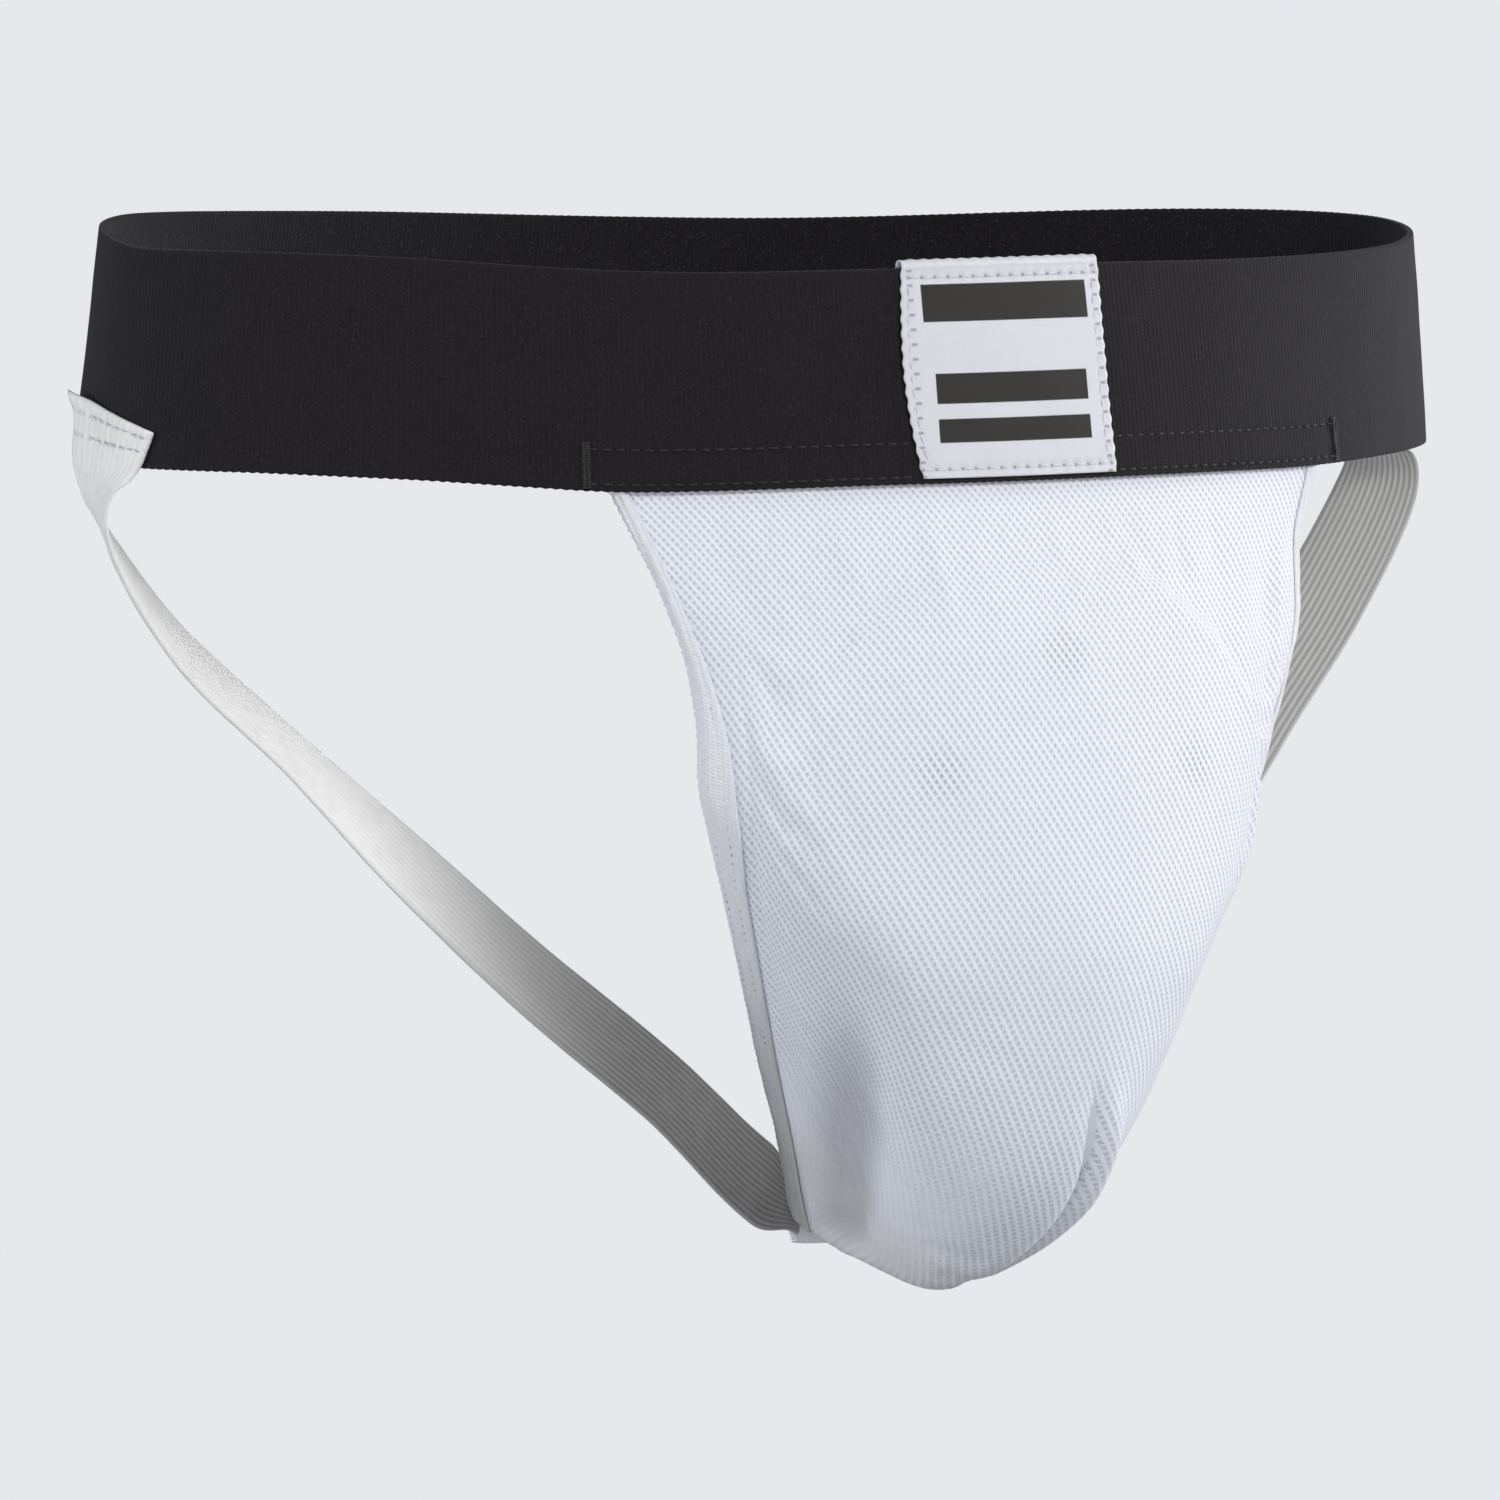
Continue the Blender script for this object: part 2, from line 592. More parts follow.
def strap_material():
    """Pattern: distance across, distance from the cut end, sign of the face."""
    m = Material("leg_elastic")
    across, along, face = m.pattern()
    rib = across.wave(pitch=STRAP_RIB) * 0.9
    streak = m.noise(scale=220, detail=2).ramp(start=0.45, end=0.7)
    inner = m.mix(rib, (0.38, 0.375, 0.36), (0.67, 0.67, 0.655))
    # The outer face is pale near the hip and greyer further down.
    pale = m.mix(rib, (0.88, 0.88, 0.87), (0.95, 0.95, 0.94))
    grey = m.mix(rib, (0.19, 0.185, 0.18), (0.34, 0.33, 0.325))
    outer = m.mix(along.ramp(start=112, end=192), pale, grey)
    colour = m.mix(face.ramp(start=-0.5, end=0.5), inner, outer)
    colour = m.mix(streak * 0.1, colour, (0.50, 0.485, 0.50))
    edge = abs(across).ramp(start=STRAP_W / 2 - 0.8, end=STRAP_W / 2)
    colour = m.mix(edge * 0.35, colour, (0.45, 0.45, 0.44))
    # Faint fold marks where the cut end is sewn down.
    folded = along.between(2.2, 3.3, soft=0.4) + along.between(6.7, 7.8, soft=0.4)
    mark = folded * m.noise(scale=700, detail=2).ramp(start=0.42, end=0.62)
    colour = m.mix(mark * 0.5, colour, (0.36, 0.37, 0.52))
    return m.set(Base_Color=colour, Roughness=0.78, Sheen_Weight=0.1, Specular_IOR_Level=0.3)


def label_material():
    """Pattern: distance across, distance down the front, 1 on the hidden parts."""
    m = Material("label_satin")
    across, down, hidden = m.pattern()
    twill_pitch = 0.42
    twill = (across + down * 0.8).wave(twill_pitch)
    warp = across.wave(pitch=0.3)
    fuzz = m.noise(scale=2600, detail=2)
    colour = m.mix(twill, (0.66, 0.685, 0.745), (0.79, 0.805, 0.85))
    # Woven bars with the slight steps that a loom leaves.
    stepped = down + (across.wave(twill_pitch) - 0.5) * 0.16
    bars = []
    for top, bottom, half_length in ((3.9, 12.6, 22.5), (24.5, 31.5, 20.5), (35.0, 40.5, 20.5)):
        bars.append(stepped.between(top, bottom, soft=0.10)
                    * abs(across).between(-30, half_length, soft=0.12))
    ink = bars[0].max(bars[1].max(bars[2])) * (1.0 - hidden)
    ink_colour = m.mix(twill * 0.7, (0.010, 0.009, 0.008), (0.032, 0.028, 0.024))
    colour = m.mix(ink, colour, ink_colour)
    # Shaded dots along the rows and columns of stitching.
    upper, lower = (down.between(y - 0.35, y + 0.35, soft=0.12) for y in LABEL_ROWS)
    row_dots = (across + 21.75).wave(LABEL_PITCH).ramp(start=0.80, end=0.95)
    rows = upper.max(lower) * row_dots
    column = abs(across).between(LABEL_W / 2 - 2.5, LABEL_W / 2 - 1.1, soft=0.3)
    columns = column * (down - 7.45).wave(LABEL_PITCH).ramp(start=0.84, end=0.96)
    colour = m.mix(rows.max(columns) * 0.62, colour, (0.20, 0.21, 0.25))
    relief = twill * 0.8 + (warp * 0.3 + fuzz * 0.4)
    return m.set(Base_Color=colour, Roughness=ink.fit(gain=0.25, base=0.46),
                 Normal=m.bump(relief, distance=0.09), Specular_IOR_Level=0.4,
                 Sheen_Weight=0.15, Anisotropic=0.3)


def thread_material(name, low, high):
    m = Material(name)
    u, v, _ = m.pattern()
    ply = (u + v * 0.7).wave(pitch=0.5)
    return m.set(Base_Color=m.mix(ply, low, high), Roughness=0.55,
                 Normal=m.bump(ply, distance=0.08), Specular_IOR_Level=0.4, Sheen_Weight=0.1)


def cup_material():
    m = Material("cup_plastic")
    _, height, _ = m.pattern()
    flow = m.noise(scale=55, detail=4, rough=0.55)
    grain = m.noise(scale=1500, detail=2, rough=0.5)
    colour = m.mix(flow, (0.66, 0.68, 0.72), (0.78, 0.80, 0.83))
    ends = abs(height).ramp(start=60, end=75)
    colour = m.mix(ends * 0.15, colour, (0.55, 0.57, 0.6))
    return m.set(Base_Color=colour, Roughness=grain.fit(gain=0.18, base=0.26),
                 Normal=m.bump(grain, distance=0.035, strength=0.7), Specular_IOR_Level=0.5,
                 Subsurface_Weight=0.25, Subsurface_Radius=(1.0, 1.0, 1.0),
                 Subsurface_Scale=0.002, Coat_Weight=0.08)


def rim_material():
    m = Material("rim_elastomer")
    grain = m.noise(scale=1300, detail=3, rough=0.6)
    cloud = m.noise(scale=70, detail=3)
    colour = m.mix(cloud, (0.20, 0.215, 0.24), (0.27, 0.285, 0.31))
    return m.set(Base_Color=colour, Roughness=grain.fit(gain=0.25, base=0.45),
                 Normal=m.bump(grain, distance=0.05), Specular_IOR_Level=0.45)


BAND_MAT, MESH_MAT, STRAP_MAT = band_material(), mesh_material(), strap_material()
LABEL_MAT = label_material()
LINER_MAT = cloth_material("liner_knit", (0.60, 0.61, 0.65), (0.80, 0.81, 0.84),
                           pitch_u=0.9, pitch_v=0.8, relief=0.12)
TAPE_MAT = cloth_material("binding_tape", (0.74, 0.755, 0.81), (0.92, 0.93, 0.97),
                          pitch_u=1.0, pitch_v=0.8, relief=0.16, rough=0.86,
                          fuzz_scale=1800, grain=0.6, sheen=0.3, dusk=(95, 165))
WHITE_THREAD = thread_material("white_thread", (0.66, 0.67, 0.71), (0.88, 0.885, 0.9))
GREY_THREAD = thread_material("grey_thread", (0.42, 0.43, 0.50), (0.56, 0.57, 0.64))
BLACK_THREAD = thread_material("black_thread", (0.006, 0.0055, 0.006), (0.03, 0.028, 0.03))
BIND_THREAD = thread_material("binding_thread", (0.34, 0.35, 0.40), (0.56, 0.57, 0.62))
SEAM_THREAD = thread_material("seam_thread", (0.006, 0.0055, 0.006), (0.028, 0.026, 0.029))
CUP_MAT, RIM_MAT = cup_material(), rim_material()

# ---------------------------------------------------------------- waistband
ARC_ANGLES = np.linspace(0, 360, 3601)
ARC_STEPS = np.linalg.norm(np.diff(band(ARC_ANGLES, 0.3, 0), axis=0), axis=1)
ARC_LENGTHS = np.concatenate([[0], np.cumsum(ARC_STEPS)])


def arc(angle):
    """Distance round the band from the front."""
    return np.interp(np.mod(angle, 360), ARC_ANGLES, ARC_LENGTHS)


def build_band():
    # Cross-section: distance out of the outer face, height. Rounded edges, then the inner face.
    profile = [(-0.05, 0.25), (0, 0.7)] + [(0, h) for h in np.linspace(1.6, 48.4, 17)]
    profile += [(0, 49.3), (-0.05, 49.75), (-0.45, 50.0), (-BAND_T + 0.45, 50.0),
                (-BAND_T + 0.05, 49.75), (-BAND_T, 49.3)]
    profile += [(-BAND_T, h) for h in np.linspace(48.4, 1.6, 13)]
    profile += [(-BAND_T, 0.7), (-BAND_T + 0.05, 0.25), (-BAND_T + 0.45, 0), (-0.45, 0)]
    profile = np.array(profile)
    p = np.linspace(0, 360, 1600, endpoint=False)[:, None]
    out, h = profile[:, 0][None, :], profile[:, 1][None, :]
    s = arc(p)
    outer = out > -BAND_T / 2
    # Teeth of the selvedges, larger on the lower edge.
    tooth = 0.26 * (0.5 - 0.5 * cosine(s, pitch=2.25))
    toothed = h + np.where(h < 0.5, tooth, 0) - np.where(h > 49.6, tooth * 0.5, 0)
    # Soft waves of the elastic, puckers and grooves at the pouch seam, and a slow swell.
    near = ease(40, 30, np.abs(np.where(p > 180, p - 360, p)))
    low, high = SEAM_ROWS
    pucker = near * (bell(h, high, 1.6) + bell(h, low, 1.4))
    ripple = 0.10 * wobble(s / 9.0, h / 7.0, seed=1) + 0.05 * cosine(s, pitch=3.4) * pucker
    groove = -0.22 * near * (bell(h, high, 0.9) + bell(h, low, 0.8)) * outer
    swell = 0.35 * np.sin(np.radians(p) * 5 + 0.6) * np.sin(h / BAND_H * math.pi)
    points = band(p, toothed / BAND_H, out + ripple + groove + swell)
    pat = np.stack(np.broadcast_arrays(s, h, np.where(outer, 0.0, 1.0)), -1)
    ob = ring_mesh("waistband_elastic", points, pat, BAND_MAT, closed=True)
    register(ob, "waistband_elastic", "waistband")


def build_overlap():
    """Overlapping end of the elastic at the middle of the back, with two zigzag rows."""
    start, end, base = 175.4, 184.6, 0.42
    p, h = np.meshgrid(np.linspace(start, end, 46), np.linspace(49.2, 0.9, 70))
    edge = np.minimum(ease(start, 175.9, p), ease(end, 184.1, p))
    lift = 0.3 + 0.1 * wobble(p * 2, h / 6, seed=4)
    outer = band(p, h / BAND_H, base + 0.95 * edge + lift * 0.4)
    inner = band(p, h / BAND_H, base)
    pat = np.stack([arc(p), h, 0 * p], -1)
    ob = shell_mesh("waistband_overlap", outer, inner, pat, BAND_MAT)
    register(ob, "waistband_elastic", "waistband_join")
    step, half_width, out = 1.78, 0.55, 1.62      # step in mm, half-width in degrees
    items = []
    for c in (176.3, 183.7):
        for k in range(26):
            low, high = 2.0 + k * step, 2.0 + (k + 1) * step
            d = half_width if k % 2 else -half_width
            items.append((band(c - d, low / BAND_H, out), band(c + d, high / BAND_H, out),
                          band_normal(c)))
    register(stitches("overlap_zigzag", items, BLACK_THREAD, radius=0.2), "black_thread")


build_band()
build_overlap()


# ---------------------------------------------------------------- label
def label_half(h, side):
    """Label half-width at height h; the edge on the wearer's right bows out and draws in."""
    u = np.clip(1 - h / BAND_H, 0, 1)
    bow = -2.1 * u ** 3 + 1.6 * np.sin(math.pi * u) if side < 0 else -0.5 * np.sin(math.pi * u)
    phase = 0 if side < 0 else 1.3
    return LABEL_W / 2 + bow + 0.2 * np.sin(2 * math.pi * h / LABEL_PITCH + phase)


def label_angle(x):
    return np.degrees(np.arcsin(x / BAND_HALF_X))


def label_relief(q, half, down):
    """Dents along the stitching, slight unevenness and a gentle bulge."""
    relief = 0
    for row in LABEL_ROWS:
        relief = relief - (0.30 - 0.22 * cosine(q * half, LABEL_PITCH)) * bell(down, row, 1.0)
    column = bell(np.abs(q) * half, half - 2.0, 0.8)
    relief = relief - column * (0.20 - 0.15 * cosine(down, LABEL_PITCH))
    bulge = 0.30 * math.sin(math.pi * min(max(down / 48, 0), 1)) + 0.10
    return relief + 0.12 * wobble(q * 3, down / 9.0, seed=7) + bulge


def build_label():
    """Label folded over the band's upper edge: short leg inside, full leg outside."""
    q = np.linspace(-1, 1, 96)
    fold_radius = BAND_T / 2 + 0.30
    # Each station: leg, then mm below the upper edge or degrees round the fold.
    stations = [("inner", d) for d in np.linspace(13.5, 0.5, 14)]
    stations += [("fold", g) for g in np.linspace(0, 180, 13)]
    stations += [("outer", d) for d in np.linspace(0.5, 48.6, 100)]
    sheets, pat = {LABEL_T: [], 0.0: []}, []
    for leg, at in stations:
        h = BAND_H if leg == "fold" else BAND_H - at
        half = np.where(q < 0, label_half(h, -1), label_half(h, 1))
        p = label_angle(q * half)
        edge = ease(0.93, 1.0, np.abs(q))
        for t, rows in sheets.items():
            out = t - edge * (0.10 if t else -0.05)
            if leg == "inner":
                row = band(p, h / BAND_H, -BAND_T - 0.25 - out)
            elif leg == "fold":
                g = math.radians(at)
                crimp = 0.12 * cosine(q * half, LABEL_PITCH) if 20 < at < 160 else 0
                r = fold_radius + out + crimp
                row = (band(p, 1, -BAND_T / 2) + band_normal(p) * (-r * math.cos(g))[..., None]
                       + np.array([0, 0, 1.0]) * (0.2 + r * math.sin(g))[..., None])
            else:
                lift = 0.0 if at > 2 else 0.1
                row = band(p, h / BAND_H, 0.22 + out + label_relief(q, half, at) + lift)
            rows.append(row)
        down, hidden = (at, 0.0) if leg == "outer" else (-1.0, 1.0)
        pat.append(np.stack([q * half, 0 * q + down, 0 * q + hidden], -1))
    ob = shell_mesh("front_label", np.array(sheets[LABEL_T]), np.array(sheets[0.0]),
                    np.array(pat), LABEL_MAT, flip=True)
    register(ob, "label_satin", "front_label")


def build_label_stitching():
    items = []
    out = 0.72
    for row in LABEL_ROWS:
        t = (BAND_H - row) / BAND_H
        for x in np.arange(-LABEL_W / 2 + 2.4, LABEL_W / 2 - 2.2, LABEL_PITCH):
            start, end = label_angle(np.array([x, x + LABEL_STITCH]))
            items.append((band(start, t, out), band(end, t, out), band_normal(start)))
    for side in (-1, 1):
        for down in np.arange(4.6, 45.0, LABEL_PITCH):
            h0, h1 = BAND_H - down, BAND_H - down - LABEL_STITCH
            p0, p1 = (side * label_angle(label_half(h, side) - 2.0) for h in (h0, h1))
            items.append((band(p0, h0 / BAND_H, out + 0.1), band(p1, h1 / BAND_H, out + 0.1),
                          band_normal(p0)))
    ob = stitches("label_stitching", items, WHITE_THREAD, radius=0.21)
    register(ob, "white_thread", "label_stitching")


build_label()
build_label_stitching()

# ---------------------------------------------------------------- pouch panel
# Folds on both sides. Columns: height in mm on the right, share of it on the left, width in w,
# v where it rises (from, to), v where it fades (from, to), v stations, |w| at those stations.
# A fade that starts past v = 1 never sets in.
SIDE_FOLDS = (
    # Soft hollow between the cup's side and its front.
    (-4.6, 0.6, 0.15, (0.42, 0.66), (1.02, 0.9),
     (0.40, 0.55, 0.62, 0.72, 0.83, 1.0), (0.60, 0.60, 0.66, 0.71, 0.72, 0.56)),
    # Ridge in front of it.
    (2.4, 0.6, 0.13, (0.34, 0.50), (0.80, 0.62),
     (0.36, 0.50, 0.56, 0.63, 0.75), (0.46, 0.45, 0.49, 0.53, 0.5)),
    # Short sharp crease at the crotch.
    (-1.3, 0.6, 0.07, (0.74, 0.84), (1.1, 1.0), (0.7, 0.83, 1.0), (0.66, 0.66, 0.42)),
    # Tension from the top corners towards the cup.
    (-0.55, 1, 0.045, (0.02, 0.08), (0.34, 0.16), (0.0, 0.3), (0.86, 0.66)),
    (0.45, 1, 0.045, (0.02, 0.08), (0.34, 0.16), (0.0, 0.3), (0.72, 0.52)),
    (-0.35, 1, 0.045, (0.02, 0.08), (0.34, 0.16), (0.0, 0.3), (0.60, 0.42)),
)
# Low centre crease. Columns: mm to the left of its line, width in mm, height in mm.
CENTRE_CREASE = ((0, 2.1, -2.9), (5.2, 3.2, 2.1), (-7.0, 4.5, 0.7))


def centre_crease(v, x):
    """Sharp valley with a raised lip on the wearer's left of it."""
    line = 2.6 + 5.0 * np.sin(np.clip((v - 0.56) / 0.26, 0, 1) * math.pi)
    reach = ease(0.56, 0.63, v) * ease(0.93, 0.80, v)
    broad = sum(height * bell(x, line + at, width) for at, width, height in CENTRE_CREASE)
    return reach * (broad - 1.2 * ease(0.60, 0.66, v) * bell(x, line, 1.0))


def folds(v, w, x):
    """Outward displacement of the mesh from tension and creases, in mm."""
    d = centre_crease(v, x)
    for height, left_share, width, rise, fade, at_v, at_w in SIDE_FOLDS:
        reach = height * ease(*rise, v) * ease(*fade, v)
        for side, amount in ((-1, 1), (1, left_share)):
            d += amount * reach * bell(w, side * np.interp(v, at_v, at_w), width)
    # Cloth pulls in beside the binding.
    d += -0.9 * ease(0.10, 0.25, v) * bell(np.abs(w), binding_w(v, -0.28), 0.035)
    # Flat facet where the cup's shoulder turns, on the wearer's right.
    d += 0.5 * bell(w, -0.30, 0.16) * ease(0.5, 0.62, v) * ease(0.8, 0.7, v)
    d += 0.20 * wobble(w * 9 + 0.5, v * 11, seed=3) * ease(0.04, 0.2, v)
    # Valleys grow shallow towards the binding: at most 34 mm deep per unit of w.
    return np.maximum(d, -0.3 - 34 * np.maximum(binding_w(v, -0.3) - np.abs(w), 0))


def upsample(field, v, w):
    """Catmull-Rom sampling of a coarse field on [0, 1] x [-1, 1]."""
    rows, cols = field.shape[:2]
    y, x = np.clip(v, 0, 1) * (rows - 1), (np.clip(w, -1, 1) + 1) / 2 * (cols - 1)
    i, j = np.minimum(y.astype(int), rows - 2), np.minimum(x.astype(int), cols - 2)
    fy, fx = (y - i)[..., None], (x - j)[..., None]

    def weights(f):
        return [0.5 * (-f + 2 * f ** 2 - f ** 3), 0.5 * (2 - 5 * f ** 2 + 3 * f ** 3),
                0.5 * (f + 4 * f ** 2 - 3 * f ** 3), 0.5 * (-f ** 2 + f ** 3)]

    total = 0
    for a, wy in zip((-1, 0, 1, 2), weights(fy)):
        row = 0
        for b, wx in zip((-1, 0, 1, 2), weights(fx)):
            row = row + wx * field[np.clip(i + a, 0, rows - 1), np.clip(j + b, 0, cols - 1)]
        total = total + wy * row
    return total


def cup_collider():
    v = np.linspace(0.1, 0.9, 40)[:, None] * np.ones((1, 40))
    oval = np.sqrt(np.clip(1 - ((v - 0.5) / 0.42) ** 2, 0.05, 1))
    w = np.linspace(-0.74, 0.74, 40)[None, :] * np.ones((40, 1)) * oval
    ob = mesh("cup_collider", off_pouch(v, w, -2.6), grid_faces(40, 40).tolist())
    ob.modifiers.new("c", "COLLISION")
    ob.collision.thickness_outer = 0.0012
    ob.collision.thickness_inner = 0.01
    ob.collision.cloth_friction = 12
    return ob


def simulate_drape():
    """Displacement of cloth pinned along its sewn edges and draped over the cup, in mm."""
    n = 57
    v = np.linspace(0, 1, n)[:, None] * np.ones((1, n))
    q = np.linspace(-1, 1, n)[None, :] * np.ones((n, 1))
    rest = off_pouch(v, q * binding_w(v, 0.0), -0.45)
    ob = mesh("drape_sim", rest, grid_faces(n, n).tolist())
    border = (0, n - 1)
    pinned = [i * n + j for i in range(n) for j in range(n) if i in border or j in border]
    ob.vertex_groups.new(name="pin").add(pinned, 1.0, "REPLACE")
    collider = cup_collider()
    cloth = ob.modifiers.new("cloth", "CLOTH")
    s = cloth.settings
    s.quality = 7
    s.mass = 0.18
    s.tension_stiffness = 22
    s.compression_stiffness = 12
    s.shear_stiffness = 6
    s.bending_stiffness = 0.35
    s.tension_damping = s.compression_damping = s.shear_damping = 12
    s.bending_damping = 0.6
    s.air_damping = 3
    s.vertex_group_mass = "pin"
    s.shrink_min = -0.022
    cloth.collision_settings.distance_min = 0.0008
    cloth.collision_settings.use_self_collision = False
    cloth.point_cache.frame_start, cloth.point_cache.frame_end = 1, 30
    scene = bpy.context.scene
    for frame in range(1, 27):
        scene.frame_set(frame)
    evaluated = ob.evaluated_get(bpy.context.evaluated_depsgraph_get())
    me = evaluated.to_mesh()
    draped = np.array([p.co[:] for p in me.vertices], float).reshape(n, n, 3) / MM
    evaluated.to_mesh_clear()
    scene.frame_set(1)
    bpy.data.objects.remove(ob)
    bpy.data.objects.remove(collider)
    move = draped - rest
    # Points that the solver loses stay put, and no point moves more than 3.5 mm.
    move = np.where(np.isfinite(move), move, 0)
    length = np.linalg.norm(move, axis=-1, keepdims=True)
    return move * np.minimum(1, 3.5 / np.maximum(length, 1e-6))


def panel_grid(drape, rows=230, cols=241):
    """Outer surface of the panel and its pattern: across, down, fold height."""
    v = np.linspace(0, POUCH_END, rows)[:, None] * np.ones((1, cols))
    q = np.linspace(-1, 1, cols)
    q = np.sign(q) * np.abs(q) ** 0.97
    w = q[None, :] * binding_w(v, 0.90)
    flat, normal = pouch(v, w), normal_of(pouch, v, w)
    inside = ease(1.0, 0.86, np.abs(q))[None, :] * ease(0.0, 0.03, v) * ease(1.0, 0.95, v)
    d = folds(v, w, flat[..., 0]) * inside
    folded = flat + normal * d[..., None]
    if drape is not None:
        amount = (0.62 * inside * ease(0.0, 0.12, binding_w(v, -0.3) - np.abs(w))
                  * ease(0.0, 0.12, v) * ease(0.92, 0.74, v))
        folded = folded + upsample(drape, v, w / binding_w(v, 0.0)) * amount[..., None]
    tuck = np.array([band(POUCH_ANGLE * w[0], TUCK / BAND_H * share, -BAND_T - GAP)
                     for share in (1, 0.66, 0.33)])
    # The knit is measured on the surface without its folds.
    flat = np.concatenate([tuck, flat])
    across = np.linalg.norm(np.diff(flat, axis=1), axis=-1)
    across = np.concatenate([np.zeros((len(flat), 1)), np.cumsum(across, 1)], 1)
    across = across - across[:, [cols // 2]]
    step = np.linalg.norm(np.diff(flat, axis=0), axis=-1)
    step = 0.5 * step[:, cols // 2] + 0.25 * (step[:, cols // 6] + step[:, -cols // 6])
    down = np.concatenate([[0], np.cumsum(step)])[:, None] * np.ones((1, cols))
    d = np.concatenate([np.zeros((len(tuck), cols)), d])
    return np.concatenate([tuck, folded]), np.stack([across, down, d], -1)


def build_panel():
    drape = simulate_drape()
    outer, pat = panel_grid(drape)
    normal = unit(np.cross(np.gradient(outer, axis=0), np.gradient(outer, axis=1)))
    ob = shell_mesh("outer_pouch_mesh", outer, outer - normal * MESH_T, pat, MESH_MAT)
    register(ob, "mesh_knit", "outer_pouch_panel")


build_panel()

# ---------------------------------------------------------------- liner and hem
LINER_TOP = 0.022 + 3 * (POUCH_END - 0.022) / 30
LINER_DROP = 190        # mm per unit of v in the liner's pattern
HEM_START, HEM_DEPTH = LINER_TOP - 0.004, 0.04      # in v


def liner_at(v, q, out):
    """Liner between the bindings: q runs -1..1 across, out is towards the cup."""
    v, q, out = np.broadcast_arrays(*(np.asarray(a, float) for a in (v, q, out)))
    total = 0
    for side in (-1, 1):
        edge = binding_at(v, -0.2, -MESH_T - GAP - LINER_T / 2, side)
        down = (binding_at(np.minimum(v + 0.03, 1), -0.2, -MESH_T, side)
                - binding_at(np.maximum(v - 0.03, 0), -0.2, -MESH_T, side))
        down[..., 0] = 0
        down = unit(down)
        edge = np.stack([side * (edge[..., 0] - 1.8), edge[..., 1], edge[..., 2]], -1)
        edge = edge + out[..., None] * np.stack([0 * v, down[..., 2], -down[..., 1]], -1)
        total = total + edge * ((1 + side * q) / 2)[..., None]
    # It sags back in the middle, with slight unevenness.
    total[..., 1] += (6 * (1 - q * q) * (1 - 0.6 * v)
                      + 0.5 * wobble(q * 4, v * 7, seed=5) * (1 - q ** 4))
    return total


def build_liner():
    v = np.linspace(LINER_TOP, POUCH_END, 120)
    q = np.linspace(-1, 1, 81)[None, :]
    under_binding = (0.92, 0.7, 0.45, 0.2, -0.05, -0.2)     # in binding widths

    def sheet(face):
        out = -MESH_T - GAP if face > 0 else -MESH_T - GAP - LINER_T
        right, left = (np.stack([binding_at(v, k, out - 0.15, side) for k in under_binding], 1)
                       for side in (-1, 1))
        middle = liner_at(v[:, None], q, face * LINER_T / 2)
        return np.concatenate([right * np.array([-1, 1, 1]), middle, left[:, ::-1]], 1)

    outer, inner = sheet(1), sheet(-1)
    across = np.linalg.norm(np.diff(outer, axis=1), axis=-1)
    across = np.concatenate([np.zeros((len(v), 1)), np.cumsum(across, 1)], 1)
    across = across - across[:, [across.shape[1] // 2]]
    down = v[:, None] * LINER_DROP * np.ones_like(across)
    pat = np.stack([across, down, 0 * across], -1)
    ob = shell_mesh("pocket_liner", outer, inner, pat, LINER_MAT)
    register(ob, "liner_knit", "pocket_liner")


def build_hem():
    """Puffy turned band along the liner's upper edge, with two rows of stitching."""
    rows, half_width = 14, 75
    v, q = np.meshgrid(np.linspace(HEM_START, LINER_TOP + 0.036, rows),
                       np.linspace(-0.985, 0.985, 150), indexing="ij")
    puff = np.sin(np.linspace(0, math.pi, rows))[:, None] ** 0.5
    gather = 0.12 * cosine(q * half_width, pitch=2.6) * puff
    outer = liner_at(v, q, -LINER_T / 2 - GAP - 0.05)
    inner = liner_at(v, q, -LINER_T / 2 - GAP - 0.15 - 0.8 * puff - gather)
    pat = np.stack([q * half_width, v * LINER_DROP, 0 * v], -1)
    register(shell_mesh("liner_hem", outer, inner, pat, LINER_MAT), "liner_knit", "liner_hem")
    items = []
    out = -LINER_T / 2 - GAP - 1.0
    for share in (0.25, 0.75):
        row = HEM_START + HEM_DEPTH * share
        for k in range(52):
            start = -0.95 + k * 0.0365
            items.append((liner_at(row, start, out), liner_at(row, start + 0.024, out),
                          np.array([0, 0.95, 0.3])))
    register(stitches("hem_stitching", items, WHITE_THREAD, radius=0.17), "white_thread")


build_liner()
build_hem()


# ---------------------------------------------------------------- side bindings
def binding_profile():
    """Section of the tape round the cloth edge: binding widths, mm out, share of the relief."""
    back = -MESH_T - GAP - LINER_T - GAP
    profile = []
    for k in np.linspace(-0.05, 0.97, 15):
        hump = math.sin(math.pi * min(max((k + 0.05) / 1.02, 0), 1)) ** 0.7
        profile.append((k, 0.32 + 0.75 * hump, 1))
    profile += [(1.03, 0.42, 0.6), (1.075, 0.0, 0.3), (1.09, -0.8, 0),
                (1.085, back + 0.2, 0), (1.05, back - 0.3, 0)]
    for k in np.linspace(0.97, -0.05, 9):
        bulge = math.sin(math.pi * min(max(k, 0), 1))
        profile.append((k, back - 0.52 - 0.12 * bulge, 0))
    profile += [(-0.06, back - 0.1, 0), (0.3, back, 0), (0.7, back, 0), (0.98, back + 0.05, 0),
                (1.0, -1.0, 0), (0.98, GAP * 0.5, 0), (0.7, GAP * 0.5, 0),
                (0.3, GAP * 0.5, 0), (-0.06, GAP * 0.6, 0)]
    return np.array(profile)


